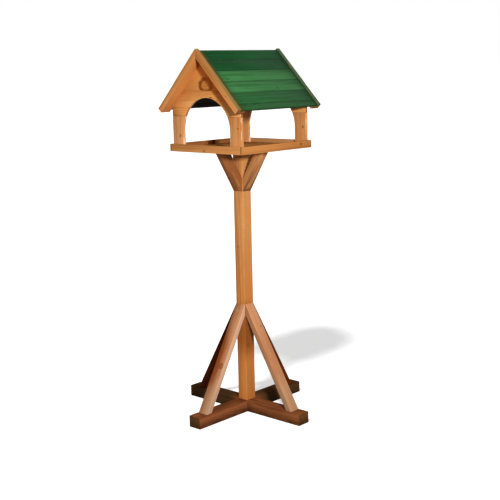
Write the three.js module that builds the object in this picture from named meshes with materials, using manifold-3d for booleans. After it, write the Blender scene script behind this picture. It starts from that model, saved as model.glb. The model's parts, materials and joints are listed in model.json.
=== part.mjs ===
// Bird table: a feeding tray with an arched, gabled roof, on a post that stands on a braced cross.
// Lengths are in millimetres and +Z is up. The ridge runs along X and the front gable faces -X,
// so the left side is +Y. The origin is on the ground, under the middle of the post.
import * as THREE from 'three';
import { mergeVertices } from 'three/addons/utils/BufferGeometryUtils.js';
import Module from 'manifold-3d';

const wasm = await Module();
wasm.setup();

// Fits
const JOINT_GAP = 0.3; // between neighbouring pieces, and round each screw and nail
const CUT_OVERRUN = 5; // how far a cutter reaches past the face that it enters

// Cross on the ground: two beams, halved into each other
const BEAM_LENGTH = 584;
const BEAM_WIDTH = 56;
const BEAM_HEIGHT = 44;

// Post
const POST_SIDE = 47;
const TRAY_UNDERSIDE = 1029; // height above the ground

// Struts: four braces at the foot of the post and four brackets at its head
const STRUT_WIDTH = 45;
const BRACE_THICKNESS = 22;
const BRACKET_THICKNESS = 27;
const BRACE_SETBACK = 44; // from the end of a beam to the toe
const BRACE_RISE = 388; // from the cross to the feathered end
const BRACKET_REACH = 98; // from the face of the post
const BRACKET_DROP = 158; // from the tray to the feathered end

// Tray
const TRAY_LENGTH = 370; // inside the rims, along the ridge
const TRAY_WIDTH = 352; // inside the rims, across the ridge
const FLOOR_THICKNESS = 12;
const RIM_HEIGHT = 28;
const RIM_THICKNESS = 9.5;

// Gables
const PANEL_THICKNESS = 11;
const ARCH_RADIUS = 120;
const ARCH_SPRING = 68; // height above the floor of the tray
const LEG_HEIGHT = 120;
const GABLE_SIDE_HEIGHT = 165; // of a gable's plumb edge, above the floor of the tray
const ARCH_BOARD_HEIGHT = 93;
const PANEL_TONGUE_LENGTH = 6;
const PANEL_TONGUE_THICKNESS = 3;
const TONGUE_SHOULDER = 8; // wood left at each end of a stopped tongue
const PANEL_VEE_DEPTH = 1.2; // chamfer on both sides of a joint that shows

// Roof: depths are square to the slope
const ROOF_PITCH = THREE.MathUtils.degToRad(46.2);
const RAFTER_WIDTH = 45; // along the ridge
const RAFTER_DEPTH = 22;
const RAFTER_LIP = 17; // the part of the width that closes the ends of the boards
const LIP_PROUD = 4; // how far the lip stands above the boards
const ROOF_BOARD_THICKNESS = 6.5;
const EAVE_OVERHANG = 30; // level, past the side of a gable
const ROOF_BOARD_COUNT = 6; // on each slope
const EAVE_BOARD_SHARE = 0.5; // of a full board's width, which the lowest board keeps
const ROOF_TONGUE_LENGTH = 4;
const ROOF_TONGUE_THICKNESS = 2;
const ROOF_VEE_DEPTH = 1;

// Nails through the thin ends of the struts
const NAIL_RADIUS = 1.2;
const NAIL_HEAD_RADIUS = 1.9;
const NAIL_HEAD_HEIGHT = 1;
const NAIL_TIP = 4;
const NAIL_BITE = 16;
const NAIL_SETBACK = 26; // along the post, from a strut's feathered end

// Wood screws: one into each brace's foot, one into each leg of the gables, one into the post's top
const SCREW_RADIUS = 1.9;
const SCREW_HEAD_RADIUS = 3.6;
const SCREW_HEAD_HEIGHT = 2.2;
const SCREW_TIP = 5;
const FOOT_SCREW_RECESS = 6;
const FOOT_SCREW_SHARE = 0.6; // of the foot's depth, from the toe
const FOOT_BITE_SHARE = 0.6; // of the wood above the foot
const LEG_BITE = 28;
const POST_TOP_BITE = 45;

// Coach screw up through the cross into the post
const COACH_RADIUS = 4;
const COACH_HEAD_RADIUS = 7.5;
const COACH_HEAD_HEIGHT = 4;
const COACH_TIP = 8;
const COACH_RECESS = 8;
const COACH_BITE = 60;

// Smoothness
const ROUND_SIDES = 12;
const ARCH_STEPS = 40;

// Colours
const ROOF_GREEN = 0x3f7a48;
const TAN = 0xc8803f;
const PALE_TAN = 0xc88c54;
const RED_TAN = 0xb4692f;
const BROWN = 0x8a4f22;
const ZINC = 0x9a9a96;
const WOOD_ROUGHNESS = 0.7;
const METAL_ROUGHNESS = 0.4;

// Worked-out places
const HALF = 0.5;
const seatFace = POST_SIDE * HALF + JOINT_GAP; // where a strut meets the post
const crossSeat = BEAM_HEIGHT + JOINT_GAP;
const braceReach = BEAM_LENGTH * HALF - BRACE_SETBACK - seatFace;
const traySeat = TRAY_UNDERSIDE - JOINT_GAP;
const floorTop = TRAY_UNDERSIDE + FLOOR_THICKNESS;
const legFoot = floorTop + JOINT_GAP;
const legTop = floorTop + LEG_HEIGHT;
const archBoardTop = legTop + ARCH_BOARD_HEIGHT;
const springHeight = floorTop + ARCH_SPRING;
const innerEnd = TRAY_LENGTH * HALF;
const innerSide = TRAY_WIDTH * HALF;
const panelOuter = innerEnd - JOINT_GAP;
const panelInner = panelOuter - PANEL_THICKNESS;
const panelMiddle = panelOuter - PANEL_THICKNESS * HALF;
const panelSide = innerSide - JOINT_GAP;
const rafterInner = panelOuter + JOINT_GAP;
const rafterOuter = rafterInner + RAFTER_WIDTH;
const lipInner = rafterOuter - RAFTER_LIP;
const boardUnderside = LIP_PROUD + ROOF_BOARD_THICKNESS;
const roofSeat = boardUnderside + JOINT_GAP; // depth of what carries the boards
const slopeLength = (panelSide + EAVE_OVERHANG) / Math.cos(ROOF_PITCH);
const roofBoardCover = slopeLength / (ROOF_BOARD_COUNT - 1 + EAVE_BOARD_SHARE);
const gableShoulder = floorTop + GABLE_SIDE_HEIGHT;
const gableApex = gableShoulder + panelSide * Math.tan(ROOF_PITCH);
const roofApex = gableApex + roofSeat / Math.cos(ROOF_PITCH);

// Directions and sides
const X_AXIS = new THREE.Vector3(1, 0, 0);
const Y_AXIS = new THREE.Vector3(0, 1, 0);
const UP = new THREE.Vector3(0, 0, 1);
const DOWN = UP.clone().negate();
const ENDS = [['front', -1], ['rear', 1]];
const SIDES = [['left', 1], ['right', -1]];
const QUARTERS = [['rear', 1, 0], ['left', 0, 1], ['front', -1, 0], ['right', 0, -1]];

// A closed geometry as a solid that can be joined and cut
function solidOf(geometry) {
  const bare = geometry.clone();
  bare.deleteAttribute('normal');
  bare.deleteAttribute('uv');
  const merged = mergeVertices(bare);
  const corners = merged.index.array;
  const kept = [];
  for (let i = 0; i < corners.length; i += 3) {
    const [a, b, c] = corners.slice(i, i + 3);
    if (a !== b && b !== c && c !== a) {
      kept.push(a, b, c);
    }
  }
  return new wasm.Manifold(new wasm.Mesh({
    numProp: 3,
    vertProperties: new Float32Array(merged.attributes.position.array),
    triVerts: new Uint32Array(kept),
  }));
}

function geometryOf(solid) {
  const mesh = solid.getMesh();
  const geometry = new THREE.BufferGeometry();
  geometry.setAttribute('position', new THREE.BufferAttribute(mesh.vertProperties, 3));
  geometry.setIndex(new THREE.BufferAttribute(mesh.triVerts, 1));
  geometry.computeVertexNormals();
  return geometry;
}

// A box between two values on each axis, in either order
function block([x0, x1], [y0, y1], [z0, z1]) {
  const geometry = new THREE.BoxGeometry(Math.abs(x1 - x0), Math.abs(y1 - y0), Math.abs(z1 - z0));
  geometry.translate((x0 + x1) * HALF, (y0 + y1) * HALF, (z0 + z1) * HALF);
  return solidOf(geometry);
}

function shapeOf(points) {
  return new THREE.Shape(points.map(([a, b]) => new THREE.Vector2(a, b)));
}

// A prism along X from an outline in y and z
function prismAlongX(shape, [x0, x1]) {
  const settings = { depth: Math.abs(x1 - x0), bevelEnabled: false, curveSegments: ARCH_STEPS };
  const geometry = new THREE.ExtrudeGeometry(shape, settings);
  geometry.applyMatrix4(new THREE.Matrix4().makeBasis(Y_AXIS, UP, X_AXIS));
  geometry.translate(Math.min(x0, x1), 0, 0);
  return solidOf(geometry);
}

// A prism of a given width from an outline in distance from the post's axis and height,
// turned to one of the four sides of the post
function prismOutward(shape, width, angle = 0) {
  const geometry = new THREE.ExtrudeGeometry(shape, { depth: width, bevelEnabled: false });
  geometry.applyMatrix4(new THREE.Matrix4().makeBasis(X_AXIS, UP, Y_AXIS.clone().negate()));
  geometry.translate(0, width * HALF, 0);
  geometry.rotateZ(angle);
  return solidOf(geometry);
}

// Nails and screws: each has the middle of its head's flat, its direction and its length
const NAIL = {
  radius: NAIL_RADIUS,
  headRadius: NAIL_HEAD_RADIUS,
  headHeight: NAIL_HEAD_HEIGHT,
  tip: NAIL_TIP,
};
const SCREW = {
  radius: SCREW_RADIUS,
  headRadius: SCREW_HEAD_RADIUS,
  headHeight: SCREW_HEAD_HEIGHT,
  tip: SCREW_TIP,
};
const COACH_SCREW = {
  radius: COACH_RADIUS,
  headRadius: COACH_HEAD_RADIUS,
  headHeight: COACH_HEAD_HEIGHT,
  tip: COACH_TIP,
};

// Half of a fastener's outline, with its head's flat at height zero and its tip below
function fastenerProfile({ kind, length }, clearance) {
  const radius = kind.radius + clearance;
  return [
    [0, -length - clearance],
    [radius, kind.tip - length - clearance],
    [radius, -kind.headHeight],
    [kind.headRadius + clearance, 0],
  ];
}

function turnedAndPlaced(profile, { head, direction }) {
  const points = profile.map(([radius, height]) => new THREE.Vector2(radius, height));
  const geometry = new THREE.LatheGeometry(points, ROUND_SIDES);
  const turn = new THREE.Quaternion().setFromUnitVectors(Y_AXIS.clone().negate(), direction);
  geometry.applyQuaternion(turn);
  geometry.translate(head.x, head.y, head.z);
  return solidOf(geometry);
}

function fastenerSolid(fastener) {
  return turnedAndPlaced([...fastenerProfile(fastener, 0), [0, 0]], fastener);
}

// The hole is head-wide from the head's flat outward
function holeSolid(fastener) {
  const profile = fastenerProfile(fastener, JOINT_GAP);
  const mouth = fastener.recess + CUT_OVERRUN;
  return turnedAndPlaced([...profile, [profile.at(-1)[0], mouth], [0, mouth]], fastener);
}

// A nail, square to a strut's outer face, into the post. vertical is 1 for a strut that rises
// to its feathered end and -1 for one that drops to it.
function strutNail(name, reach, rise, seat, vertical, [outX, outY]) {
  const slant = Math.hypot(reach, rise);
  const out = NAIL_SETBACK * reach / rise + seatFace;
  const along = rise - NAIL_SETBACK;
  const inShare = rise / slant;
  const alongShare = reach / slant;
  return {
    name,
    kind: NAIL,
    head: new THREE.Vector3(out * outX, out * outY, seat + vertical * along),
    direction: new THREE.Vector3(-inShare * outX, -inShare * outY, -vertical * alongShare),
    length: (out - seatFace + JOINT_GAP) / inShare + NAIL_BITE,
    recess: 0,
  };
}

// A screw up through the cross into the foot of a brace
function footScrew(name, [outX, outY]) {
  const setIn = FOOT_SCREW_SHARE * strutFootDepth(BRACE_THICKNESS, braceReach, BRACE_RISE);
  const out = seatFace + braceReach - setIn;
  const woodAbove = setIn * BRACE_RISE / braceReach;
  return {
    name,
    kind: SCREW,
    head: new THREE.Vector3(out * outX, out * outY, FOOT_SCREW_RECESS),
    direction: UP,
    length: crossSeat - FOOT_SCREW_RECESS + woodAbove * FOOT_BITE_SHARE,
    recess: FOOT_SCREW_RECESS,
  };
}

// A screw up through the floor of the tray into a leg of a gable
function legScrew(name, end, side) {
  const legMiddle = (ARCH_RADIUS + panelSide) * HALF;
  return {
    name,
    kind: SCREW,
    head: new THREE.Vector3(end * panelMiddle, side * legMiddle, TRAY_UNDERSIDE),
    direction: UP,
    length: legFoot - TRAY_UNDERSIDE + LEG_BITE,
    recess: 0,
  };
}

function trayScrew() {
  return {
    name: 'tray_screw',
    kind: SCREW,
    head: new THREE.Vector3(0, 0, floorTop),
    direction: DOWN,
    length: floorTop - traySeat + POST_TOP_BITE,
    recess: 0,
  };
}

function coachScrew() {
  return {
    name: 'coach_screw',
    kind: COACH_SCREW,
    head: new THREE.Vector3(0, 0, COACH_RECESS),
    direction: UP,
    length: crossSeat - COACH_RECESS + COACH_BITE,
    recess: COACH_RECESS,
  };
}

function allFasteners() {
  const fasteners = [coachScrew(), trayScrew()];
  for (const [quarter, outX, outY] of QUARTERS) {
    const out = [outX, outY];
    fasteners.push(footScrew(`${quarter}_brace_screw`, out));
    fasteners.push(strutNail(`${quarter}_brace_nail`, braceReach, BRACE_RISE, crossSeat, 1, out));
    fasteners.push(
      strutNail(`${quarter}_bracket_nail`, BRACKET_REACH, BRACKET_DROP, traySeat, -1, out));
  }
  for (const [endName, end] of ENDS) {
    for (const [sideName, side] of SIDES) {
      fasteners.push(legScrew(`${endName}_${sideName}_leg_screw`, end, side));
    }
  }
  return fasteners;
}

// Cross: the beam along X is notched from above and the beam along Y from below
function beam(alongX) {
  const halfLength = BEAM_LENGTH * HALF;
  const halfWidth = BEAM_WIDTH * HALF;
  const notch = halfWidth + JOINT_GAP;
  const lap = BEAM_HEIGHT * HALF;
  const pass = halfWidth + CUT_OVERRUN;
  if (alongX) {
    const timber = block([-halfLength, halfLength], [-halfWidth, halfWidth], [0, BEAM_HEIGHT]);
    const notchFloor = lap - JOINT_GAP * HALF;
    return timber.subtract(
      block([-notch, notch], [-pass, pass], [notchFloor, BEAM_HEIGHT + CUT_OVERRUN]));
  }
  const timber = block([-halfWidth, halfWidth], [-halfLength, halfLength], [0, BEAM_HEIGHT]);
  const notchRoof = lap + JOINT_GAP * HALF;
  return timber.subtract(block([-pass, pass], [-notch, notch], [-CUT_OVERRUN, notchRoof]));
}

function post() {
  const face = POST_SIDE * HALF;
  return block([-face, face], [-face, face], [crossSeat, traySeat]);
}

// Struts: a board cut level where it meets the cross or the tray, and plumb on the post
function strutFootDepth(thickness, reach, rise) {
  return thickness * Math.hypot(reach, rise) / rise;
}

function strutHeadDepth(thickness, reach, rise) {
  return thickness * Math.hypot(reach, rise) / reach;
}

function strut(thickness, reach, rise, seat, vertical, angle) {
  const outline = [
    [reach, 0],
    [0, rise],
    [0, rise - strutHeadDepth(thickness, reach, rise)],
    [reach - strutFootDepth(thickness, reach, rise), 0],
  ].map(([out, along]) => [seatFace + out, seat + vertical * along]);
  return prismOutward(shapeOf(outline), STRUT_WIDTH, angle);
}

// Tray: the side rims run past the ends of the end rims
function trayFloor() {
  const halfLength = innerEnd - JOINT_GAP;
  const halfWidth = innerSide - JOINT_GAP;
  return block([-halfLength, halfLength], [-halfWidth, halfWidth], [TRAY_UNDERSIDE, floorTop]);
}

function endRim(end) {
  const halfWidth = innerSide - JOINT_GAP;
  const rise = [TRAY_UNDERSIDE, TRAY_UNDERSIDE + RIM_HEIGHT];
  return block([end * innerEnd, end * (innerEnd + RIM_THICKNESS)], [-halfWidth, halfWidth], rise);
}

function sideRim(side) {
  const halfLength = innerEnd + RIM_THICKNESS;
  const rise = [TRAY_UNDERSIDE, TRAY_UNDERSIDE + RIM_HEIGHT];
  const across = [side * innerSide, side * (innerSide + RIM_THICKNESS)];
  return block([-halfLength, halfLength], across, rise);
}

// A place on a slope in y and z, from a distance down the slope and a depth square to it
function slopePoint(side, along, depth) {
  const y = along * Math.cos(ROOF_PITCH) - depth * Math.sin(ROOF_PITCH);
  const z = roofApex - along * Math.sin(ROOF_PITCH) - depth * Math.cos(ROOF_PITCH);
  return [side * y, z];
}

// How far down the slope the plumb cut at the ridge lies, at a given depth
function ridgeCut(depth) {
  return (JOINT_GAP * HALF + depth * Math.sin(ROOF_PITCH)) / Math.cos(ROOF_PITCH);
}

// Gables: each board is a slice, between two heights, of the outline that fits under the roof
function gableSlice(end, [y0, y1], [z0, z1]) {
  const outline = shapeOf([
    [-panelSide, legFoot],
    [panelSide, legFoot],
    [panelSide, gableShoulder],
    [0, gableApex],
    [-panelSide, gableShoulder],
  ]);
  const reach = [end * (panelInner - CUT_OVERRUN), end * (panelOuter + CUT_OVERRUN)];
  return prismAlongX(outline, [end * panelInner, end * panelOuter]).intersect(
    block(reach, [y0, y1], [z0, z1]));
}

function archCutter(end) {
  const base = floorTop - CUT_OVERRUN;
  const shape = new THREE.Shape();
  shape.moveTo(-ARCH_RADIUS, base);
  shape.lineTo(ARCH_RADIUS, base);
  shape.lineTo(ARCH_RADIUS, springHeight);
  shape.absarc(0, springHeight, ARCH_RADIUS, 0, Math.PI, false);
  shape.lineTo(-ARCH_RADIUS, base);
  return prismAlongX(shape,
    [end * (panelInner - CUT_OVERRUN), end * (panelOuter + CUT_OVERRUN)]);
}

// A stopped tongue that stands on a joint at a given height, or the groove for it
function tongue(end, [y0, y1], height, clearance) {
  const halfThickness = PANEL_TONGUE_THICKNESS * HALF + clearance;
  return block(
    [end * panelMiddle - halfThickness, end * panelMiddle + halfThickness],
    [y0 - clearance, y1 + clearance],
    [height - PANEL_TONGUE_LENGTH, height + PANEL_TONGUE_LENGTH + clearance],
  );
}

// Chamfers on the outside, along the joint at a given height
function panelVee(end, height) {
  const face = end * panelOuter;
  const shape = shapeOf([
    [face - PANEL_VEE_DEPTH, height],
    [face, height - PANEL_VEE_DEPTH],
    [face + PANEL_VEE_DEPTH, height],
    [face, height + PANEL_VEE_DEPTH],
  ]);
  return prismOutward(shape, TRAY_WIDTH);
}

function legTongueReach() {
  const rise = legTop - springHeight;
  const archEdge = Math.sqrt(Math.max(ARCH_RADIUS ** 2 - rise ** 2, 0));
  return [archEdge + TONGUE_SHOULDER, panelSide - TONGUE_SHOULDER];
}

function topTongueReach() {
  const edge = (gableApex - archBoardTop) / Math.tan(ROOF_PITCH);
  const reach = Math.min(edge, panelSide) - TONGUE_SHOULDER - PANEL_TONGUE_LENGTH;
  return [-reach, reach];
}

function gableLeg(end, side) {
  const timber = gableSlice(end, [0, side * panelSide], [legFoot, legTop - JOINT_GAP]);
  const reach = legTongueReach().map((y) => side * y).sort((a, b) => a - b);
  return timber.subtract(archCutter(end)).subtract(panelVee(end, legTop)).add(
    tongue(end, reach, legTop, 0));
}

function archBoard(end) {
  let board = gableSlice(end, [-panelSide, panelSide], [legTop, archBoardTop - JOINT_GAP]);
  board = board.subtract(archCutter(end));
  for (const [, side] of SIDES) {
    const reach = legTongueReach().map((y) => side * y).sort((a, b) => a - b);
    board = board.subtract(tongue(end, reach, legTop, JOINT_GAP));
  }
  board = board.subtract(panelVee(end, legTop)).subtract(panelVee(end, archBoardTop));
  return board.add(tongue(end, topTongueReach(), archBoardTop, 0));
}

function topBoard(end) {
  const board = gableSlice(end, [-panelSide, panelSide], [archBoardTop, gableApex]);
  return board.subtract(tongue(end, topTongueReach(), archBoardTop, JOINT_GAP)).subtract(
    panelVee(end, archBoardTop));
}

// Rafters: rebated from above for the roof boards, mitred at the ridge, square at the tail
function rafter(end, side) {
  const outline = [
    [ridgeCut(0), 0],
    [slopeLength, 0],
    [slopeLength, RAFTER_DEPTH],
    [ridgeCut(RAFTER_DEPTH), RAFTER_DEPTH],
  ].map(([along, depth]) => slopePoint(side, along, depth));
  const rebate = [
    [-roofSeat, -CUT_OVERRUN],
    [slopeLength + CUT_OVERRUN, -CUT_OVERRUN],
    [slopeLength + CUT_OVERRUN, roofSeat],
    [-roofSeat, roofSeat],
  ].map(([along, depth]) => slopePoint(side, along, depth));
  const timber = prismAlongX(shapeOf(outline), [end * rafterInner, end * rafterOuter]);
  return timber.subtract(
    prismAlongX(shapeOf(rebate), [end * (rafterInner - CUT_OVERRUN), end * lipInner]));
}

// The upper edge of a roof board: a plumb cut at the ridge, or a tongue
function roofBoardHead(start, isFirst) {
  const tongueTop = LIP_PROUD + (ROOF_BOARD_THICKNESS - ROOF_TONGUE_THICKNESS) * HALF;
  const tongueBottom = tongueTop + ROOF_TONGUE_THICKNESS;
  if (isFirst) {
    return [[ridgeCut(boardUnderside), boardUnderside], [ridgeCut(LIP_PROUD), LIP_PROUD]];
  }
  return [
    [start, boardUnderside],
    [start, tongueBottom],
    [start - ROOF_TONGUE_LENGTH, tongueBottom],
    [start - ROOF_TONGUE_LENGTH, tongueTop],
    [start, tongueTop],
    [start, LIP_PROUD + ROOF_VEE_DEPTH],
    [start + ROOF_VEE_DEPTH, LIP_PROUD],
  ];
}

// The lower edge of a roof board: square at the eave, or a groove for the next one's tongue
function roofBoardFoot(finish, isLast) {
  if (isLast) {
    return [[finish, LIP_PROUD], [finish, boardUnderside]];
  }
  const edge = finish - JOINT_GAP;
  const tongueTop = LIP_PROUD + (ROOF_BOARD_THICKNESS - ROOF_TONGUE_THICKNESS) * HALF;
  const grooveTop = tongueTop - JOINT_GAP;
  const grooveBottom = tongueTop + ROOF_TONGUE_THICKNESS + JOINT_GAP;
  const grooveEnd = edge - ROOF_TONGUE_LENGTH;
  return [
    [edge - ROOF_VEE_DEPTH, LIP_PROUD],
    [edge, LIP_PROUD + ROOF_VEE_DEPTH],
    [edge, grooveTop],
    [grooveEnd, grooveTop],
    [grooveEnd, grooveBottom],
    [edge, grooveBottom],
    [edge, boardUnderside],
  ];
}

function roofBoard(side, index) {
  const start = index * roofBoardCover;
  const isLast = index === ROOF_BOARD_COUNT - 1;
  const outline = [
    ...roofBoardHead(start, index === 0),
    ...roofBoardFoot(isLast ? slopeLength : start + roofBoardCover, isLast),
  ].map(([along, depth]) => slopePoint(side, along, depth));
  const halfLength = lipInner - JOINT_GAP;
  return prismAlongX(shapeOf(outline), [-halfLength, halfLength]);
}

// The scene
const birdTable = new THREE.Group();
const fasteners = allFasteners();
const holes = fasteners.map(holeSolid);

function addMesh(name, solid, color, roughness, metalness) {
  const material = new THREE.MeshStandardMaterial({ color, roughness, metalness });
  const mesh = new THREE.Mesh(geometryOf(solid), material);
  mesh.name = name;
  birdTable.add(mesh);
}

function addTimber(name, solid, color) {
  const drilled = holes.reduce((timber, hole) => timber.subtract(hole), solid);
  addMesh(name, drilled, color, WOOD_ROUGHNESS, 0);
}

function addFoot() {
  addTimber('cross_beam_x', beam(true), BROWN);
  addTimber('cross_beam_y', beam(false), BROWN);
  addTimber('post', post(), TAN);
  for (const [quarter, outX, outY] of QUARTERS) {
    const angle = Math.atan2(outY, outX);
    const brace = strut(BRACE_THICKNESS, braceReach, BRACE_RISE, crossSeat, 1, angle);
    const bracket = strut(BRACKET_THICKNESS, BRACKET_REACH, BRACKET_DROP, traySeat, -1, angle);
    addTimber(`${quarter}_brace`, brace, PALE_TAN);
    addTimber(`${quarter}_bracket`, bracket, RED_TAN);
  }
}

function addTray() {
  addTimber('tray_floor', trayFloor(), TAN);
  for (const [endName, end] of ENDS) {
    addTimber(`${endName}_rim`, endRim(end), TAN);
  }
  for (const [sideName, side] of SIDES) {
    addTimber(`${sideName}_rim`, sideRim(side), TAN);
  }
}

function addGable(endName, end) {
  for (const [sideName, side] of SIDES) {
    addTimber(`${endName}_${sideName}_leg`, gableLeg(end, side), TAN);
    addTimber(`${endName}_${sideName}_rafter`, rafter(end, side), TAN);
  }
  addTimber(`${endName}_arch_board`, archBoard(end), PALE_TAN);
  addTimber(`${endName}_top_board`, topBoard(end), TAN);
}

function addRoofSlope(sideName, side) {
  for (let index = 0; index < ROOF_BOARD_COUNT; index += 1) {
    addTimber(`${sideName}_roof_board_${index + 1}`, roofBoard(side, index), ROOF_GREEN);
  }
}

addFoot();
addTray();
for (const [endName, end] of ENDS) {
  addGable(endName, end);
}
for (const [sideName, side] of SIDES) {
  addRoofSlope(sideName, side);
}
for (const fastener of fasteners) {
  addMesh(fastener.name, fastenerSolid(fastener), ZINC, METAL_ROUGHNESS, 1);
}

export default birdTable;
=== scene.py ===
import json
from itertools import count
from math import atan2, cos, radians, sin
from random import Random

import bpy
from mathutils import Matrix, Vector


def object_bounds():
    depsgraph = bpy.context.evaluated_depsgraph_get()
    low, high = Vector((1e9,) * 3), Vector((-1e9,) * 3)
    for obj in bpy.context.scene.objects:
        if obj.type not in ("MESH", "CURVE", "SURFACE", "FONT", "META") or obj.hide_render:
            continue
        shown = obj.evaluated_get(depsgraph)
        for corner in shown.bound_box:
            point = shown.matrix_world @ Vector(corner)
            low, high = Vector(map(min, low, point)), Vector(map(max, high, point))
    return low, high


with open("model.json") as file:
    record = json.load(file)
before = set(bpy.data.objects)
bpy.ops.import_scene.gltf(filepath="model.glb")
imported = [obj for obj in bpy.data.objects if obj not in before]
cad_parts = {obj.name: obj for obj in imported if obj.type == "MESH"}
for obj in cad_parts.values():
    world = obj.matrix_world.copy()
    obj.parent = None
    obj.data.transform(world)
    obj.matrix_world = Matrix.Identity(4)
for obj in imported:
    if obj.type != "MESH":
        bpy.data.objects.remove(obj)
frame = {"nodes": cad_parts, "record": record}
CAD_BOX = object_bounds()
NODES = frame["nodes"]
SLOTS = {part["node"]: part["material_slot"] for part in frame["record"]["subparts"]}
MM = 0.001

# Sizes of the bird table that the materials follow, in metres.
ROOF_APEX = CAD_BOX[1][2]
ROOF_PITCH = radians(46.2)
RAFTER_DEPTH = 22 * MM
STRUT_WIDTH = 45 * MM
ARCH_CENTRE_HEIGHT = 1.109
ARCH_RADIUS = 0.120

# The ways round the bird table: what each quarter is in X and Y, the ends, and what each side is
# in Y.
QUARTERS = {"rear": (1, 0), "left": (0, 1), "front": (-1, 0), "right": (0, -1)}
ENDS = ("front", "rear")
SIDES = {"left": 1, "right": -1}


def tint(red, green, blue):
    """A screen colour, 0 to 255, as linear RGBA, by the sRGB curve."""
    channels = []
    for value in (red, green, blue):
        share = value / 255
        channels.append(share / 12.92 if share <= 0.04045 else ((share + 0.055) / 1.055) ** 2.4)
    return (*channels, 1.0)


class Graph:
    """The shader nodes of one material."""

    def __init__(self, name):
        self.material = bpy.data.materials.new(name)
        self.material.use_nodes = True
        self.tree = self.material.node_tree
        self.tree.nodes.clear()

    def add(self, kind, **settings):
        node = self.tree.nodes.new(kind)
        for key, value in settings.items():
            setattr(node, key, value)
        return node

    def put(self, socket, value):
        if isinstance(value, bpy.types.NodeSocket):
            self.tree.links.new(value, socket)
        else:
            socket.default_value = value

    def math(self, operation, first, second=0.0, third=0.0):
        node = self.add("ShaderNodeMath", operation=operation)
        for socket, value in zip(node.inputs, (first, second, third)):
            self.put(socket, value)
        return node.outputs[0]

    def times(self, first, second):
        return self.math("MULTIPLY", first, second)

    def length(self, *sides):
        """The root of the sum of the squares."""
        total = 0.0
        for side in sides:
            total = self.math("MULTIPLY_ADD", side, side, total)
        return self.math("SQRT", total)

    def swing(self, value, width):
        """A 0 to 1 value spread evenly about zero."""
        return self.math("MULTIPLY_ADD", value, width, -width / 2)

    def rise(self, value, low, high, start=0.0, end=1.0):
        """A smooth step from start at low to end at high."""
        node = self.add("ShaderNodeMapRange", interpolation_type="SMOOTHSTEP")
        for socket, item in zip(node.inputs, (value, low, high, start, end)):
            self.put(socket, item)
        return node.outputs[0]

    def band(self, value, start, full, fading, end):
        """A smooth step up from start to full, and down again from fading to end."""
        return self.times(self.rise(value, start, full), self.rise(value, fading, end, 1.0, 0.0))

    def parts(self, vector):
        node = self.add("ShaderNodeSeparateXYZ")
        self.put(node.inputs[0], vector)
        return list(node.outputs)

    def dot(self, vector, direction):
        node = self.add("ShaderNodeVectorMath", operation="DOT_PRODUCT")
        self.put(node.inputs[0], vector)
        node.inputs[1].default_value = direction
        return node.outputs["Value"]

    def scaled(self, vector, factors, shift=(0.0, 0.0, 0.0)):
        node = self.add("ShaderNodeMapping", vector_type="POINT")
        self.put(node.inputs["Vector"], vector)
        node.inputs["Location"].default_value = shift
        node.inputs["Scale"].default_value = factors
        return node.outputs[0]

    def noise(self, vector, detail):
        node = self.add("ShaderNodeTexNoise")
        self.put(node.inputs["Vector"], vector)
        node.inputs["Scale"].default_value = 1.0
        node.inputs["Detail"].default_value = detail
        return node.outputs[0]

    def clouds(self, waves, detail):
        """Noise at the shaded point, with as many waves per metre each way."""
        spot = self.add("ShaderNodeTexCoord").outputs["Object"]
        return self.noise(self.scaled(spot, (waves, waves, waves)), detail)

    def mix(self, share, first, second):
        """Two colours blended. The node's colours are its inputs 6 and 7 and its output 2."""
        node = self.add("ShaderNodeMix", data_type="RGBA", blend_type="MIX")
        self.put(node.inputs[0], share)
        self.put(node.inputs[6], first)
        self.put(node.inputs[7], second)
        return node.outputs[2]

    def ramp(self, value, pale, mid, dark):
        node = self.add("ShaderNodeValToRGB")
        stops = node.color_ramp.elements
        stops[0].color = pale
        stops[1].color = dark
        stops.new(0.5).color = mid
        self.put(node.inputs[0], value)
        return node.outputs[0]

    def surface(self, shader):
        output = self.add("ShaderNodeOutputMaterial")
        self.put(output.inputs["Surface"], shader.outputs[0])
        return self.material

    def finish(self, colour, roughness, height, bump, depth, **constants):
        """A shader with a bump of the given strength and depth in metres."""
        shader = self.add("ShaderNodeBsdfPrincipled")
        self.put(shader.inputs["Base Color"], colour)
        self.put(shader.inputs["Roughness"], roughness)
        for name, value in constants.items():
            shader.inputs[name.replace("_", " ")].default_value = value
        node = self.add("ShaderNodeBump")
        node.inputs["Strength"].default_value = bump
        node.inputs["Distance"].default_value = depth
        self.put(node.inputs["Height"], height)
        self.put(shader.inputs["Normal"], node.outputs[0])
        return self.surface(shader)


class Board:
    """A timber's own frame: along the grain, across the width, through the thickness."""

    def __init__(self, node, along, across):
        along = Vector(along).normalized()
        across = Vector(across).normalized()
        self.node = node
        self.axes = Matrix((along, across, along.cross(across)))
        corners = [self.axes @ vertex.co for vertex in NODES[node].data.vertices]
        low = Vector([min(corner[k] for corner in corners) for k in range(3)])
        high = Vector([max(corner[k] for corner in corners) for k in range(3)])
        self.middle = self.axes.inverted() @ ((low + high) / 2)
        self.half = (high - low) / 2

    def local(self, g, spot):
        """A shader's point of the row frame in the board's own frame."""
        place = g.add("ShaderNodeMapping", vector_type="TEXTURE")
        g.put(place.inputs["Vector"], spot)
        place.inputs["Location"].default_value = self.middle
        place.inputs["Rotation"].default_value = self.axes.transposed().to_euler()
        return place.outputs[0]


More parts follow.
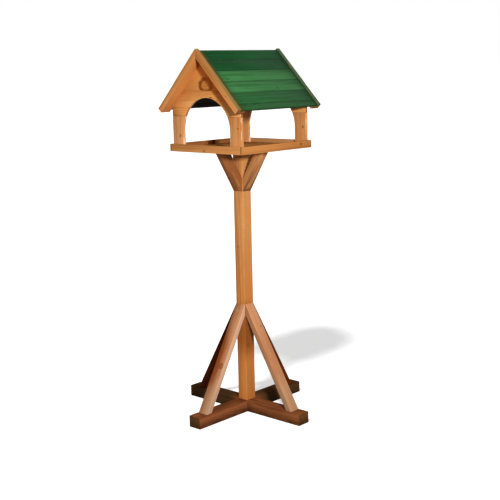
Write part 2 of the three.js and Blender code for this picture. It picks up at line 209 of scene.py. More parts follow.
# Noise in a timber: waves per metre along, across and through the board, and octaves.
PATTERNS = {
    "wander": ((2.4, 11, 11), 1.0),
    "wobble": ((9, 80, 80), 2.0),
    "ragged": ((60, 60, 60), 2.0),
    "fade": ((3, 30, 30), 1.0),
    "fibre": ((14, 620, 620), 2.0),
    "streak": ((3.5, 130, 130), 3.0),
    "blotch": ((6, 24, 24), 2.0),
    "pore": ((500, 900, 900), 1.0),
    "patch": ((25, 70, 70), 3.0),
}
PATTERN_SHIFT = (3.7, 1.9, 5.3)  # from one board to the next, in waves

PITH_SHIFT = 8 * MM  # the farthest that a board's pith lies from the place in its look
PITH_TURN = 2.3  # radians from one board to the next
RING_WANDER = 24 * MM
RING_WOBBLE = 2.4 * MM
LATE_WOOD = (0.25, 0.86, 0.9, 1.0)  # start, full, fading and end, in shares of a ring
LATE_FADE = (0.3, 0.65, 0.35, 1.0)  # between two levels of noise, the shares of late wood there
LATE_PORES = 0.5
LATE_HEIGHT = 0.45
FIBRE_HEIGHT = 0.55
GRAIN_DEPTH = 0.5 * MM

# Knots, in knot radii where nothing else is said.
KNOT_RIM = (0.5, 0.82, 0.98, 1.3)  # start, full, fading and end
KNOT_HEART = (0.5, 0.9)
KNOT_RAGGEDNESS = 0.5
KNOT_LENGTH = 3
KNOT_EXTRA_LENGTH = 12 * MM
KNOT_RING_TURNS = 24.0  # radians of the ring wave in a radius
KNOT_RING_SHARES = (0.3, 0.7)  # the swing of the rings in a heart, and their middle
KNOT_PUSH = 0.8
KNOT_PUSH_FALL = -0.45
KNOT_HEIGHT = -0.8  # a share of the grain's depth
KNOT_SIDE_HALF = 12 * MM  # half a board's thickness, above which knots may sit on its sides

END_GRAIN = (0.55, 0.92)  # how squarely a face looks along the grain
END_PORES = (0.35, 0.7)
WEAR_REACH = (0.6 * MM, 3.6 * MM)
WEAR_PATCHES = (0.42, 0.68)
EDGE_START = 1 * MM

# What each adds to a timber's roughness.
FIBRE_ROUGHNESS = 0.16
LATE_ROUGHNESS = -0.06
END_ROUGHNESS = 0.15
WEAR_ROUGHNESS = 0.12


def ring_radius(g, pattern, parts, look, seed):
    """Distance from a pith that lies beside or behind the board."""
    pith_v = look["pith"][0] + PITH_SHIFT * sin(seed * PITH_TURN)
    wander = g.swing(pattern("wander"), RING_WANDER)
    across = g.math("ADD", g.math("SUBTRACT", parts[1], pith_v), wander)
    through = g.math("SUBTRACT", parts[2], look["pith"][1])
    return g.math("ADD", g.length(across, through), g.swing(pattern("wobble"), RING_WOBBLE))


def knot_marks(g, pattern, board, parts, knots, radius):
    """The rings pushed aside by knots that run through the board, and the rims and hearts."""
    u, v, w = parts
    ragged = g.swing(pattern("ragged"), KNOT_RAGGEDNESS)
    rims = 0.0
    hearts = 0.0
    for each in knots:
        spot = board.axes @ (Vector(each["at"]) - board.middle)
        size = each["radius"]
        length = KNOT_LENGTH * size + KNOT_EXTRA_LENGTH
        on_side = abs(abs(spot.y) - board.half.y) < MM and board.half.z > KNOT_SIDE_HALF
        beside, level, depth, reach = (w, spot.z, v, spot.y) if on_side else (v, spot.y, w, spot.z)
        away_u = g.times(g.math("SUBTRACT", u, spot.x), each["squash"] / size)
        away_v = g.times(g.math("SUBTRACT", beside, level), 1 / size)
        away_w = g.times(g.math("SUBTRACT", depth, reach), 1 / length)
        away = g.math("ADD", g.length(away_v, away_u, away_w), ragged)
        push = g.math("EXPONENT", g.times(g.math("POWER", away, 2.0), KNOT_PUSH_FALL))
        radius = g.math("MULTIPLY_ADD", push, size * KNOT_PUSH, radius)
        rim = g.times(g.band(away, *KNOT_RIM), each["dark"])
        wave = g.math("SINE", g.times(away, KNOT_RING_TURNS))
        rings = g.math("MULTIPLY_ADD", wave, *KNOT_RING_SHARES)
        heart = g.times(g.times(g.rise(away, *KNOT_HEART, 1.0, 0.0), rings), each["heart"])
        rims = g.math("MAXIMUM", rims, rim)
        hearts = g.math("MAXIMUM", hearts, heart)
    return radius, rims, hearts


def arris_distance(g, board, parts, spot, arch):
    """How far a point on a face is from the next arris, or from the curve of an arch."""
    gap_u, gap_v, gap_w = [g.math("SUBTRACT", half, g.math("ABSOLUTE", part))
                           for half, part in zip(board.half, parts)]
    nearer = g.math("MINIMUM", gap_u, gap_v)
    farther = g.math("MAXIMUM", gap_u, gap_v)
    arris = g.math("MAXIMUM", nearer, g.math("MINIMUM", farther, gap_w))
    if arch:
        _, y, z = g.parts(spot)
        above = g.math("MAXIMUM", g.math("SUBTRACT", z, ARCH_CENTRE_HEIGHT), 0.0)
        curve = g.math("ABSOLUTE", g.math("SUBTRACT", g.length(above, y), ARCH_RADIUS))
        arris = g.math("MINIMUM", arris, curve)
    return arris


def wood(board, look, seed, knots, arch, coat):
    """Stained timber with growth rings that run through the solid, fibres, knots and worn edges."""
    g = Graph(board.node + "_wood")
    spot = g.add("ShaderNodeTexCoord").outputs["Object"]
    normal = g.add("ShaderNodeNewGeometry").outputs["Normal"]
    local = board.local(g, spot)
    parts = g.parts(local)
    shift = [seed * step for step in PATTERN_SHIFT]

    def pattern(name):
        scale, detail = PATTERNS[name]
        return g.noise(g.scaled(local, scale, shift), detail)

    radius = ring_radius(g, pattern, parts, look, seed)
    radius, rims, hearts = knot_marks(g, pattern, board, parts, knots, radius)
    ring = g.math("FRACT", g.times(radius, 1 / look["ring"]))
    late = g.times(g.band(ring, *LATE_WOOD), g.rise(pattern("fade"), *LATE_FADE))
    fibre = pattern("fibre")

    tone = g.math("MULTIPLY_ADD", late, look["rings"], look["level"])
    tone = g.math("ADD", tone, g.swing(pattern("streak"), look["streaks"]))
    tone = g.math("ADD", tone, g.swing(pattern("blotch"), look["blotches"]))
    tone = g.math("ADD", tone, g.swing(fibre, look["fibres"]))
    colour = g.ramp(tone, look["pale"], look["mid"], look["dark"])
    colour = g.mix(hearts, colour, look["knot"])
    colour = g.mix(rims, colour, look["knot_rim"])
    height = g.math("ADD", g.times(late, LATE_HEIGHT), g.times(fibre, FIBRE_HEIGHT))
    height = g.math("MULTIPLY_ADD", rims, KNOT_HEIGHT, height)
    roughness = g.math("MULTIPLY_ADD", fibre, FIBRE_ROUGHNESS, look["roughness"])
    roughness = g.math("MULTIPLY_ADD", late, LATE_ROUGHNESS, roughness)

    # End grain drinks more stain.
    end = g.rise(g.math("ABSOLUTE", g.dot(normal, board.axes[0])), *END_GRAIN)
    end_colour = g.mix(g.rise(pattern("pore"), *END_PORES), look["end"], look["end_pore"])
    end_colour = g.mix(g.times(late, LATE_PORES), end_colour, look["end_pore"])
    colour = g.mix(g.times(end, look["end_share"]), colour, end_colour)
    roughness = g.math("MULTIPLY_ADD", end, END_ROUGHNESS, roughness)

    # The arrises are worn in patches, and some timbers are darker near them.
    arris = arris_distance(g, board, parts, spot, arch)
    patchy = pattern("patch")
    wear = g.times(g.rise(arris, *WEAR_REACH, 1.0, 0.0), g.rise(patchy, *WEAR_PATCHES))
    colour = g.mix(g.times(wear, look["wear_share"]), colour, look["wear"])
    dim = g.times(g.rise(arris, EDGE_START, look["edge_reach"], 1.0, 0.0), look["edge_dark"])
    colour = g.mix(dim, colour, look["edge"])
    roughness = g.math("MULTIPLY_ADD", wear, WEAR_ROUGHNESS, roughness)

    if coat:
        colour = coat(g, spot, normal, colour, patchy)
    return g.finish(colour, roughness, height, look["bump"], GRAIN_DEPTH,
                    Specular_IOR_Level=look["shine"])


# Coats lie over a timber's own colour. Each is a function of the graph, the point and the normal
# in the row frame, the colour so far and a patchy 0 to 1 noise. Heights are above the ground and
# lengths along the ridge are from its middle, in metres. PATCHES are two levels of that noise and
# the shares of the coat there. FACING is how squarely a face looks a way, at none and all of it.
LIP_FACING = (0.35, 0.8)
LIP_PATCHES = (0.2, 0.75, 1.1, 0.8)
LIP_STAIN_HEIGHTS = (1.19, 1.38)  # between the shares at the eave and at the top
LIP_AMBER_HEIGHTS = (1.20, 1.34)
LIP_AMBER_SHARE = 0.3
LIP_AMBER = tint(150, 82, 10)
LIP_DRIP = -2 * MM
LIP_RUN = (0.5, 1.5)  # between the shares on the sides and none, in parts of the spill
LIPS = {
    "front": {"spill": 4 * MM, "side": 0.35, "top": 0.35, "eave": 0.85, "stain": tint(92, 100, 46)},
    "rear": {"spill": 7 * MM, "side": 1.0, "top": 1.1, "eave": 1.1, "stain": tint(60, 86, 54)},
}


def lip_coat(upward, lip):
    """Roof stain on a rafter's top edge, stronger towards the eave, that has run down the sides."""
    def coat(g, spot, normal, colour, patchy):
        depth = g.math("SUBTRACT", ROOF_APEX * cos(ROOF_PITCH), g.dot(spot, upward))
        depth = g.math("MULTIPLY_ADD", patchy, LIP_DRIP, depth)
        near, far = [lip["spill"] * part for part in LIP_RUN]
        run = g.rise(depth, near, far, lip["side"], 0.0)
        up = g.math("MAXIMUM", g.rise(g.dot(normal, upward), *LIP_FACING), run)
        height = g.parts(spot)[2]
        share = g.rise(height, *LIP_STAIN_HEIGHTS, lip["eave"], lip["top"])
        share = g.times(share, g.rise(patchy, *LIP_PATCHES))
        share = g.math("MINIMUM", share, 1.0)
        amber = g.rise(height, *LIP_AMBER_HEIGHTS, 0.0, LIP_AMBER_SHARE)
        colour = g.mix(amber, colour, LIP_AMBER)
        return g.mix(g.times(up, share), colour, lip["stain"])
    return coat


# Painted shadow that the rafters' lips cast on the roof boards near both ends.
LIP_SHADOW_ENDS = (0.175, 0.225)
LIP_SHADOW_SHARE = 0.42
LIP_SHADOW_SPREAD = 30 * MM
LIP_SHADOW_GREEN = tint(10, 48, 22)
END_SEAMS = (0.2035, 0.2105)
END_SEAM_SHARE = 0.85
END_SEAM_GREEN = tint(12, 30, 14)
FRONT_SEAM = (0.189, 0.200)
FRONT_SEAM_SHARE = 0.8
FRONT_SEAM_OLIVE = tint(62, 60, 16)
# Painted shade on the undersides of the roof boards.
UNDERSIDE_FACING = (0.3, 0.6)
UNDERSIDE_PAINTED_SHADE = tint(24, 24, 14)


def roof_coat(upward):
    """Painted shade on the undersides, painted shadow of the rafters' lips near the board ends, and
    dark seams where the boards meet the rafters.
    """
    def coat(g, spot, normal, colour, patchy):
        along = g.parts(spot)[0]
        ends = g.math("ABSOLUTE", along)
        # Painted shadow of the rafters' lips, made ragged by the noise.
        soft = g.math("MULTIPLY_ADD", patchy, LIP_SHADOW_SPREAD, ends)
        colour = g.mix(g.rise(soft, *LIP_SHADOW_ENDS, 0.0, LIP_SHADOW_SHARE), colour, LIP_SHADOW_GREEN)
        colour = g.mix(g.times(g.rise(ends, *END_SEAMS), END_SEAM_SHARE), colour, END_SEAM_GREEN)
        front = g.times(g.rise(g.times(along, -1.0), *FRONT_SEAM), FRONT_SEAM_SHARE)
        colour = g.mix(front, colour, FRONT_SEAM_OLIVE)
        # Painted shade on the downward faces of the roof boards.
        under = g.rise(g.dot(normal, [-part for part in upward]), *UNDERSIDE_FACING)
        return g.mix(under, colour, UNDERSIDE_PAINTED_SHADE)
    return coat


# Painted shadow: the band on the front gable that its right rafter shades.
GABLE_SHADOW_AMBER = tint(232, 108, 0)
GABLE_SHADOW_SHARE = 0.62
GABLE_SHADOW_DEPTHS = (48 * MM, 72 * MM)  # under the right rafter
GABLE_SHADOW_SPREAD = 12 * MM
GABLE_SHADOW_HEIGHTS = (1.17, 1.215)


def gable_painted_shadow(g, spot, normal, colour, patchy):
    """Painted shadow of the right rafter on the front gable, in a deep amber."""
    underside = ROOF_APEX * cos(ROOF_PITCH) - RAFTER_DEPTH
    depth = g.math("SUBTRACT", underside, g.dot(spot, roof_slope(SIDES["right"])[1]))
    depth = g.math("MULTIPLY_ADD", patchy, GABLE_SHADOW_SPREAD, depth)
    near = g.times(g.rise(depth, *GABLE_SHADOW_DEPTHS, GABLE_SHADOW_SHARE, 0.0),
                   g.rise(g.parts(spot)[2], *GABLE_SHADOW_HEIGHTS))
    return g.mix(near, colour, GABLE_SHADOW_AMBER)


RIM_DEEPENING = (-0.10, 0.12, 0.26, 0.46)  # along the ridge, and the shares at both ends
RIM_BROWN = tint(134, 70, 14)


def rim_coat(g, spot, normal, colour, patchy):
    """Browner and darker towards the rear of a side rim."""
    return g.mix(g.rise(g.parts(spot)[0], *RIM_DEEPENING), colour, RIM_BROWN)


DAMP_HEIGHTS = (0.004, 0.036)
DAMP_PATCHES = (0.3, 0.7, 0.55, 0.85)
DAMP_BROWN = tint(52, 28, 12)
# Painted shade on the arms that run back behind the post.
FAR_ARM = (0.0, 0.09)  # along the beam
FAR_ARM_SHADE_SHARE = 0.85
FAR_ARM_PAINTED_SHADE = tint(56, 43, 25)


def foot_coat(axis):
    """Soil and damp towards the ground, and painted shade towards the far ends of the rear and left
    arms.
    """
    def coat(g, spot, normal, colour, patchy):
        parts = g.parts(spot)
        damp = g.times(g.rise(parts[2], *DAMP_HEIGHTS, 1.0, 0.0), g.rise(patchy, *DAMP_PATCHES))
        colour = g.mix(damp, colour, DAMP_BROWN)
        far = g.times(g.rise(parts[axis], *FAR_ARM), FAR_ARM_SHADE_SHARE)
        return g.mix(far, colour, FAR_ARM_PAINTED_SHADE)
    return coat


BRACE_AMBER = tint(138, 62, 4)
BRACE_AMBER_LIMIT = 0.92
BRACE_WAIST = (0.10, 0.19, 0.25, 0.37)  # start, full, fading and end, in height
BRACE_WAIST_SHARES = (0.6, 0.4)  # of the amber, at the waist alone and all along
BRACE_PATCHES = (0.25, 0.7, 0.8, 1.1)
BROAD_FACING = (0.5, 0.85)
SPLASH_HEIGHTS = (0.06, 0.22)
SPLASH_SHARE = 0.35
SPLASH_GREY = tint(120, 112, 92)
# Shares of amber at both edges of the broad faces, and of a painted highlight on the front brace's
# narrow faces and painted shade on the right brace's.
NEAR_BRACES = {
    "front": {"edges": (1.2, 0.42), "side": 0.25, "side_light_and_shade": tint(220, 200, 190)},
    "right": {"edges": (0.5, 0.3), "side": 0.4, "side_light_and_shade": tint(104, 66, 42)},
}


def brace_coat(axes, stain):
    """Amber that varies across a brace's broad faces and along it, painted light and shade on its
    narrow faces, and soil near the foot.
    """
    def coat(g, spot, normal, colour, patchy):
        broad = g.rise(g.math("ABSOLUTE", g.dot(normal, axes[2])), *BROAD_FACING)
        height = g.parts(spot)[2]
        waist = g.math("MULTIPLY_ADD", g.band(height, *BRACE_WAIST), *BRACE_WAIST_SHARES)
        share = g.rise(g.dot(spot, axes[1]), -STRUT_WIDTH / 2, STRUT_WIDTH / 2, *stain["edges"])
        share = g.times(g.times(share, waist), g.rise(patchy, *BRACE_PATCHES))
        share = g.math("MINIMUM", share, BRACE_AMBER_LIMIT)
        colour = g.mix(g.times(broad, share), colour, BRACE_AMBER)
        # Painted highlight on the front brace's narrow faces, painted shade on the right brace's.
        side = g.times(g.math("SUBTRACT", 1.0, broad), stain["side"])
        colour = g.mix(side, colour, stain["side_light_and_shade"])
        return g.mix(g.rise(height, *SPLASH_HEIGHTS, SPLASH_SHARE, 0.0), colour, SPLASH_GREY)
    return coat


INWARD_FACING = (-0.8, -0.4)
INNER_PATCHES = (0.25, 0.7, 0.62, 0.8)
OUTER_SHARE = 0.72
OUTER_TAN = tint(206, 146, 102)
INNER_PAINTED_SHADE = tint(76, 12, 0)


def inner_coat(axes):
    """Weather on the outer face of a far brace, and painted shade on its sides and inner face."""
    def coat(g, spot, normal, colour, patchy):
        inwards = g.dot(normal, axes[2])
        colour = g.mix(g.rise(inwards, *INWARD_FACING, OUTER_SHARE, 0.0), colour, OUTER_TAN)
        share = g.times(g.rise(inwards, *INWARD_FACING), g.rise(patchy, *INNER_PATCHES))
        return g.mix(share, colour, INNER_PAINTED_SHADE)
    return coat


POST_LOW = (0.40, 0.86)
POST_LOW_SHARE = 0.6
POST_AMBER = tint(180, 100, 34)
POST_SHADED = (0.19, 0.29, 0.38, 0.46)  # start, full, fading and end, between the braces
POST_SHADED_SHARE = 0.6
POST_PAINTED_SHADE = tint(132, 66, 12)
POST_RIGHT_FACING = (0.3, 0.7)
POST_RIGHT_SHARE = 0.35
POST_RIGHT_PAINTED_SHADE = tint(100, 40, 0)


def post_coat(g, spot, normal, colour, patchy):
    """A deeper, more amber stain low down on the post, and painted shade between the braces, deeper
    on the right face.
    """
    height = g.parts(spot)[2]
    low = g.times(g.rise(height, *POST_LOW, 1.0, 0.0), POST_LOW_SHARE)
    colour = g.mix(low, colour, POST_AMBER)
    # Painted shade where the braces shade the post.
    shaded = g.band(height, *POST_SHADED)
    colour = g.mix(g.times(shaded, POST_SHADED_SHARE), colour, POST_PAINTED_SHADE)
    right = g.times(g.rise(g.dot(normal, (0, -1, 0)), *POST_RIGHT_FACING), POST_RIGHT_SHARE)
    return g.mix(g.times(shaded, right), colour, POST_RIGHT_PAINTED_SHADE)


def stained(pale, mid, dark, **changes):
    """A timber's look. The pith is across and through the board, and lengths are in metres."""
    look = {
        "pale": tint(*pale), "mid": tint(*mid), "dark": tint(*dark),
        "knot": tint(126, 54, 6), "knot_rim": tint(96, 36, 2),
        "end": tint(120, 70, 34), "end_pore": tint(84, 44, 20), "end_share": 0.75,
        "wear": tint(226, 172, 116), "wear_share": 0.55,
        "edge": tint(96, 44, 14), "edge_dark": 0.0, "edge_reach": 0.006,
        "pith": (0.0, -0.04), "ring": 0.0034, "level": 0.32,
        "rings": 0.36, "streaks": 0.42, "blotches": 0.5, "fibres": 0.22,
        "roughness": 0.5, "bump": 0.35, "shine": 0.12,
    }
    look.update(changes)
    return look


DULL = {"shine": 0.0, "roughness": 0.7}
PALE_WEAR = {"wear": tint(250, 216, 180), "wear_share": 0.9}
FAR_RIM_ENDS = {"end": tint(180, 116, 56), "end_pore": tint(140, 84, 38), "end_share": 0.6}
LOOKS = {
    "cross_wood": stained(
        (162, 99, 56), (127, 72, 42), (74, 39, 22), pith=(0.01, -0.012),
        end=tint(112, 76, 44), end_pore=tint(58, 40, 20), end_share=0.95,
        wear=tint(176, 104, 54), wear_share=0.25, edge_dark=0.3, **DULL),
    "post_wood": stained((216, 158, 97), (198, 131, 71), (164, 96, 44), pith=(0.03, -0.012)),
    "brace_wood": stained((226, 172, 130), (204, 144, 100), (164, 100, 58), shine=0.05),
    # A darker, shaded copy of the brace timber for the rear and left braces: painted shade.
    "brace_far": stained(
        (152, 92, 44), (118, 66, 26), (76, 40, 12), wear=tint(160, 100, 58), **DULL),
    "bracket_wood": stained(
        (216, 154, 98), (190, 126, 72), (148, 88, 44), edge_dark=0.25),
    # A darker, shaded copy of the bracket timber for the front and left brackets: painted shade.
    "bracket_dark": stained(
        (180, 116, 64), (146, 86, 42), (104, 55, 22), edge_dark=0.35, edge_reach=0.008),
    # The tray floor is paler than the rims, standing in for light bounced into the tray: painted
    # light.
    "floor_wood": stained(
        (226, 160, 92), (204, 134, 68), (166, 98, 42), pith=(0.0, -0.05), **DULL),
    "rim_wood": stained(
        (213, 148, 87), (191, 126, 69), (155, 91, 44), shine=0.0, wear_share=0.25,
        end=tint(190, 124, 60), end_pore=tint(150, 92, 40), end_share=0.6),
    "rim_far": stained((208, 158, 106), (184, 130, 82), (142, 90, 52), shine=0.0, **FAR_RIM_ENDS),
    # A darker, shaded copy of the rim timber for the left rim under the roof: painted shade.
    "rim_left": stained((156, 104, 58), (130, 80, 40), (94, 52, 22), shine=0.0, **FAR_RIM_ENDS),
    "leg_wood": stained(
        (220, 156, 98), (202, 134, 74), (168, 98, 46), pith=(0.0, -0.05), **PALE_WEAR),
    "leg_pale": stained(
        (227, 168, 118), (208, 145, 90), (173, 106, 56), pith=(0.0, -0.05), **PALE_WEAR),
    "arch_wood": stained((232, 166, 98), (216, 144, 74), (174, 102, 44), pith=(0.0, -0.05)),
    "gable_wood": stained(
        (242, 170, 96), (228, 150, 76), (184, 106, 44), pith=(0.0, -0.05),
        knot=tint(150, 76, 6), knot_rim=tint(136, 68, 6)),
    "rafter_wood": stained(
        (218, 152, 88), (198, 126, 66), (158, 90, 40), pith=(0.0, -0.03), wear_share=0.2),
}
ROOF_TONES = {
    "top": ((14, 80, 34), (4, 58, 22), (2, 37, 10)),
    "middle": ((68, 128, 74), (46, 103, 51), (24, 72, 32)),
    "low": ((46, 102, 52), (30, 80, 38), (14, 55, 24)),
    "eave": ((46, 96, 50), (30, 75, 37), (14, 52, 22)),
}
ROOF_BOARD_TONES = ("top", "top", "middle", "middle", "low", "eave")  # from the ridge down
for name, colours in ROOF_TONES.items():
    LOOKS["roof_" + name] = stained(
        *colours, knot=tint(20, 60, 28), knot_rim=tint(8, 36, 14),
        end=tint(30, 50, 26), end_pore=tint(16, 28, 12), wear=tint(86, 124, 78), wear_share=0.45,
        rings=0.3, roughness=0.6, edge=tint(6, 30, 12), edge_dark=0.55, edge_reach=0.0045)


# The camera, solved from the straight edges in the photograph, in metres from the post's foot.
CAMERA_TURN = radians(43.16)
CAMERA_AWAY = 3.8463
CAMERA_HEIGHT = 1.3404
CAMERA_YAW = radians(-0.37)
CAMERA_PITCH = radians(10.33)
CAMERA_ROLL = radians(-1.28)
LENS_PIXELS = 1010.9
FRAME_PIXELS = 500
SENSOR_WIDTH = 36  # in millimetres


def place_camera():
    """The photograph's camera."""
    heading = CAMERA_TURN + CAMERA_YAW
    level = Vector((cos(heading), sin(heading), 0))
    forward = level * cos(CAMERA_PITCH) - Vector((0, 0, sin(CAMERA_PITCH)))
    right = Vector((sin(heading), -cos(heading), 0))
    up = right.cross(forward)
    right_rolled = right * cos(CAMERA_ROLL) + up * sin(CAMERA_ROLL)
    up_rolled = up * cos(CAMERA_ROLL) - right * sin(CAMERA_ROLL)
    data = bpy.data.cameras.new("camera")
    data.sensor_width = SENSOR_WIDTH
    data.lens = SENSOR_WIDTH * LENS_PIXELS / FRAME_PIXELS
    camera = bpy.data.objects.new("camera", data)
    turn = Matrix((right_rolled, up_rolled, -forward)).transposed().to_4x4()
    spot = Vector((-CAMERA_AWAY * cos(CAMERA_TURN), -CAMERA_AWAY * sin(CAMERA_TURN), CAMERA_HEIGHT))
    camera.matrix_world = Matrix.Translation(spot) @ turn
    bpy.context.collection.objects.link(camera)
    bpy.context.scene.camera = camera


FLOOR_REACH = 60.0
FLOOR_WHITES = ((0.90, 0.90, 0.90, 1), (0.92, 0.92, 0.92, 1))
FLOOR_BOUNCE = (0.30, 0.30, 0.30, 1)
FLOOR_GLOW = 0.4
FLOOR_ROUGHNESS = 0.9
FLOOR_CLOUDS = (2, 2.0)  # waves per metre, and octaves


def add_floor():
    """A plain pale floor, which bounces less light than it shows."""
    g = Graph("floor")
    seen = g.add("ShaderNodeLightPath").outputs["Is Camera Ray"]
    white = g.mix(g.clouds(*FLOOR_CLOUDS), *FLOOR_WHITES)
    shader = g.add("ShaderNodeBsdfPrincipled")
    shader.inputs["Roughness"].default_value = FLOOR_ROUGHNESS
    shader.inputs["Specular IOR Level"].default_value = 0.0
    shader.inputs["Emission Color"].default_value = (1, 1, 1, 1)
    g.put(shader.inputs["Base Color"], g.mix(seen, FLOOR_BOUNCE, white))
    g.put(shader.inputs["Emission Strength"], g.times(seen, FLOOR_GLOW))
    mesh = bpy.data.meshes.new("floor")
    corners = [(x * FLOOR_REACH, y * FLOOR_REACH, 0)
               for x, y in ((-1, -1), (1, -1), (1, 1), (-1, 1))]
    mesh.from_pydata(corners, [], [(0, 1, 2, 3)])
    mesh.materials.append(g.surface(shader))
    floor = bpy.data.objects.new("floor", mesh)
    bpy.context.collection.objects.link(floor)
    return floor


# Lamps: spot, aim and width in metres, power in watts, spread in degrees. A source is the direction
# that the light comes from.
KEY_LAMP = {"spot": (-2.66, -3.98, 1.86), "aim": (0, 0, 1.1), "width": 0.42, "power": 246}
FILL_LAMP = {"spot": (2.6, 3.2, 1.5), "aim": (0, 0, 0.8), "width": 1.6, "power": 70}
GROUND_SUN = {"source": (-0.573, -0.292, 0.766), "strength": 2.8, "spread": 7}
WORLD_LIGHT = 0.34


def add_lamp(name, data, source):
    """A lamp turned so that its light comes from the direction source."""
    lamp = bpy.data.objects.new(name, data)
    lamp.rotation_euler = Vector(source).to_track_quat("Z", "Y").to_euler()
    bpy.context.collection.objects.link(lamp)
    return lamp


def add_sun(name, source, strength, spread):
    """A sun lamp, which lights everything from one direction."""
    data = bpy.data.lights.new(name, "SUN")
    data.energy = strength
    data.angle = radians(spread)
    return add_lamp(name, data, source)


def add_softbox(name, spot, aim, width, power):
    """A round lamp at spot, facing aim."""
    data = bpy.data.lights.new(name, "AREA")
    data.shape = "DISK"
    data.size = width
    data.energy = power
    lamp = add_lamp(name, data, Vector(spot) - Vector(aim))
    lamp.location = spot
    return lamp


def light_only(lamp, item, lit):
    """Keep a lamp's light on item alone, or off item alone."""
    group = bpy.data.collections.new(lamp.name + "_lit")
    group.objects.link(item)
    lamp.light_linking.receiver_collection = group
    group.collection_objects[0].light_linking.link_state = "INCLUDE" if lit else "EXCLUDE"


def add_world():
    """An even light from all round, which shows as white to the camera and in gloss."""
    world = bpy.data.worlds.new("studio")
    bpy.context.scene.world = world
    world.use_nodes = True
    nodes = world.node_tree.nodes
    links = world.node_tree.links
    back = nodes["Background"]
    path = nodes.new("ShaderNodeLightPath")
    seen = nodes.new("ShaderNodeMath")
    seen.operation = "MAXIMUM"
    links.new(path.outputs["Is Camera Ray"], seen.inputs[0])
    links.new(path.outputs["Is Glossy Ray"], seen.inputs[1])
    level = nodes.new("ShaderNodeMapRange")
    level.inputs["To Min"].default_value = WORLD_LIGHT
    level.inputs["To Max"].default_value = 1.0
    links.new(seen.outputs[0], level.inputs["Value"])
    links.new(level.outputs[0], back.inputs["Strength"])
    back.inputs["Color"].default_value = (1, 1, 1, 1)


def light_and_floor():
    floor = add_floor()
    light_only(add_softbox("key", **KEY_LAMP), floor, False)
    light_only(add_softbox("fill", **FILL_LAMP), floor, False)
    light_only(add_sun("ground", **GROUND_SUN), floor, True)
    add_world()


# How far each timber's arrises are rounded.
EASES = {
    "cross_wood": 1.2 * MM, "post_wood": 1.2 * MM, "brace_wood": 1.0 * MM, "bracket_wood": 1.0 * MM,
    "floor_wood": 0.7 * MM, "rim_wood": 0.8 * MM, "leg_wood": 0.6 * MM, "arch_wood": 0.6 * MM,
    "gable_wood": 0.6 * MM, "rafter_wood": 0.8 * MM, "roof_green": 0.5 * MM,
}
WELD_GAP = 0.02 * MM
FLAT_ANGLE = radians(1)
ARRIS_ANGLE = radians(50)


def ease_edges(node, width):
    """A small round on every sharp arris."""
    piece = NODES[node]
    for polygon in piece.data.polygons:
        polygon.use_smooth = True
    weld = piece.modifiers.new("weld", "WELD")
    weld.merge_threshold = WELD_GAP
    flat = piece.modifiers.new("flat", "DECIMATE")
    flat.decimate_type = "DISSOLVE"
    flat.angle_limit = FLAT_ANGLE
    bevel = piece.modifiers.new("ease", "BEVEL")
    bevel.width = width
    bevel.segments = 2
    bevel.limit_method = "ANGLE"
    bevel.angle_limit = ARRIS_ANGLE
    bevel.use_clamp_overlap = False
    bevel.harden_normals = True


def dress(node, material):
    """Put one material on all of a node."""
    mesh = NODES[node].data
    if not mesh.materials:
        mesh.materials.append(material)
    for index in range(len(mesh.materials)):
        mesh.materials[index] = material


def knot(x, y, z, radius, dark=1.0, heart=0.6, squash=0.8):
    """A knot at a point of the row frame, in millimetres. Dark and heart are the shares of its rim
    and heart, and squash is its width over its length along the grain."""
    return {"at": (x * MM, y * MM, z * MM), "radius": radius * MM, "dark": dark, "heart": heart,
            "squash": squash}


SEEN_KNOTS = {
    "front_top_board": [knot(-184.7, -3.5, 1275, 25, 1.0, 0.72, 0.76)],
    "post": [knot(-9, -23.5, 266, 7), knot(-23.5, 6, 655, 5, 0.45, 0.35),
             knot(5, -23.5, 905, 4, 0.6), knot(23.5, -4, 560, 6),
             knot(3, 23.5, 780, 6), knot(23.5, 8, 180, 4)],
    "front_brace": [knot(-150.6, -8.4, 211.5, 9, 0.7, 0.8)],
    "left_rim": [knot(18, 176, 1047, 12, 1.0, 1.0)],
    "right_rim": [knot(133, -185.5, 1046, 4)],
    "front_right_leg": [knot(-184.7, -160, 1122, 3)],
}
KNOT_COUNTS = {"cross_wood": 2, "floor_wood": 3}  # and one on any other timber
CHANCE_ALONG = 0.85  # of half the board
CHANCE_ACROSS = 0.6
CHANCE_RADII = (2.5, 6.0)  # in millimetres
CHANCE_DARKS = (0.5, 1.0)


def chance_knots(board, number):
    """A few small knots at places on a board that its name alone decides."""
    dice = Random(board.node)
    found = []
    for _ in range(number):
        spot = Vector((dice.uniform(-CHANCE_ALONG, CHANCE_ALONG) * board.half.x,
                       dice.uniform(-CHANCE_ACROSS, CHANCE_ACROSS) * board.half.y,
                       dice.choice((-1, 1)) * board.half.z))
        place = (board.middle + board.axes.inverted() @ spot) / MM
        found.append(knot(*place, dice.uniform(*CHANCE_RADII), dice.uniform(*CHANCE_DARKS)))
    return found


TIMBER_SEEDS = count(1.0)


def dress_timber(board, look=None, arch=False, coat=None):
    """Give a board its own timber, in the look of its slot or another, and ease its arrises."""
    slot = SLOTS[board.node]
    knots = SEEN_KNOTS.get(board.node) or chance_knots(board, KNOT_COUNTS.get(slot, 1))
    dress(board.node, wood(board, LOOKS[look or slot], next(TIMBER_SEEDS), knots, arch, coat))
    ease_edges(board.node, EASES[slot])


def strut_lean(node):
    """A strut's slope against the post, from its reach and its rise."""
    spans = []
    for k in range(3):
        places = [vertex.co[k] for vertex in NODES[node].data.vertices]
        spans.append(max(places) - min(places))
    return atan2(max(spans[0], spans[1]), spans[2])


def strut_board(node, x, y, sense):
    """A strut's board, which leans out from the post downwards, or upwards where sense is -1."""
    lean = sense * strut_lean(node)
    return Board(node, (-x * sin(lean), -y * sin(lean), cos(lean)), (-y, x, 0))


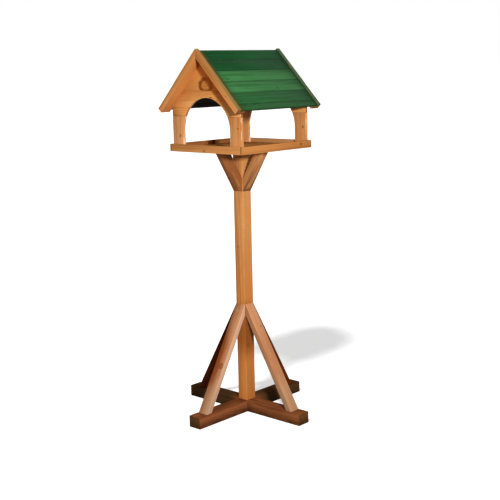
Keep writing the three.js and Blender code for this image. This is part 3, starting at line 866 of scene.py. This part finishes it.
def roof_slope(out):
    """Down the roof slope that faces out, and square off it."""
    down = (0, out * cos(ROOF_PITCH), -sin(ROOF_PITCH))
    upward = (0, out * sin(ROOF_PITCH), cos(ROOF_PITCH))
    return down, upward


def dress_stand():
    """The cross, the post, and the braces and brackets."""
    dress_timber(Board("cross_beam_x", (1, 0, 0), (0, 1, 0)), coat=foot_coat(0))
    dress_timber(Board("cross_beam_y", (0, 1, 0), (1, 0, 0)), coat=foot_coat(1))
    dress_timber(Board("post", (0, 0, 1), (1, 0, 0)), coat=post_coat)
    for name, (x, y) in QUARTERS.items():
        brace = strut_board(name + "_brace", x, y, 1)
        if name in NEAR_BRACES:
            dress_timber(brace, coat=brace_coat(brace.axes, NEAR_BRACES[name]))
        else:
            # The rear and left braces take the shaded copy, with painted shade on their sides and
            # inner faces.
            dress_timber(brace, "brace_far", coat=inner_coat(brace.axes))
        bracket = strut_board(name + "_bracket", x, y, -1)
        # The front and left brackets take the shaded copy of the timber: painted shade.
        dress_timber(bracket, "bracket_dark" if name in ("front", "left") else None)


def dress_end(end):
    """The rim, legs, rafters and boards of one gable."""
    front = end == "front"
    dress_timber(Board(end + "_rim", (0, 1, 0), (0, 0, 1)), None if front else "rim_far")
    for side, out in SIDES.items():
        pale = front and side == "left"
        dress_timber(Board(f"{end}_{side}_leg", (0, 0, 1), (0, 1, 0)), "leg_pale" if pale else None,
                     arch=True)
        down, upward = roof_slope(out)
        dress_timber(Board(f"{end}_{side}_rafter", down, upward), coat=lip_coat(upward, LIPS[end]))
    # The front gable gets the painted shadow of its right rafter.
    coat = gable_painted_shadow if front else None
    dress_timber(Board(end + "_arch_board", (0, 1, 0), (0, 0, 1)), arch=True, coat=coat)
    dress_timber(Board(end + "_top_board", (0, 1, 0), (0, 0, 1)), coat=coat)


def dress_side(side, out):
    """The rim and the roof boards of one side."""
    rim = Board(side + "_rim", (1, 0, 0), (0, 0, 1))
    if side == "left":
        # The left rim takes the shaded copy of the rim timber: painted shade.
        dress_timber(rim, "rim_left")
    else:
        dress_timber(rim, coat=rim_coat)
    down, upward = roof_slope(out)
    for index, tone in enumerate(ROOF_BOARD_TONES, 1):
        board = Board(f"{side}_roof_board_{index}", (1, 0, 0), down)
        dress_timber(board, "roof_" + tone, coat=roof_coat(upward))


ZINC_GREYS = (tint(150, 150, 146), tint(196, 196, 190))
ZINC_CLOUDS = (400, 3.0)  # waves per metre, and octaves
ZINC_ROUGHNESS = (0.25, 0.25)  # its swing and its least
ZINC_BUMP = 0.1
ZINC_DEPTH = 0.2 * MM


def dress_fasteners():
    """Zinc plated screws and nails."""
    g = Graph("zinc_steel")
    cloud = g.clouds(*ZINC_CLOUDS)
    roughness = g.math("MULTIPLY_ADD", cloud, *ZINC_ROUGHNESS)
    colour = g.mix(cloud, *ZINC_GREYS)
    steel = g.finish(colour, roughness, cloud, ZINC_BUMP, ZINC_DEPTH, Metallic=1.0)
    for node, slot in SLOTS.items():
        if slot == "zinc_steel":
            dress(node, steel)


place_camera()
light_and_floor()
dress_stand()
dress_timber(Board("tray_floor", (1, 0, 0), (0, 1, 0)))
for end in ENDS:
    dress_end(end)
for side, out in SIDES.items():
    dress_side(side, out)
dress_fasteners()
bpy.context.scene.view_settings.view_transform = "Standard"
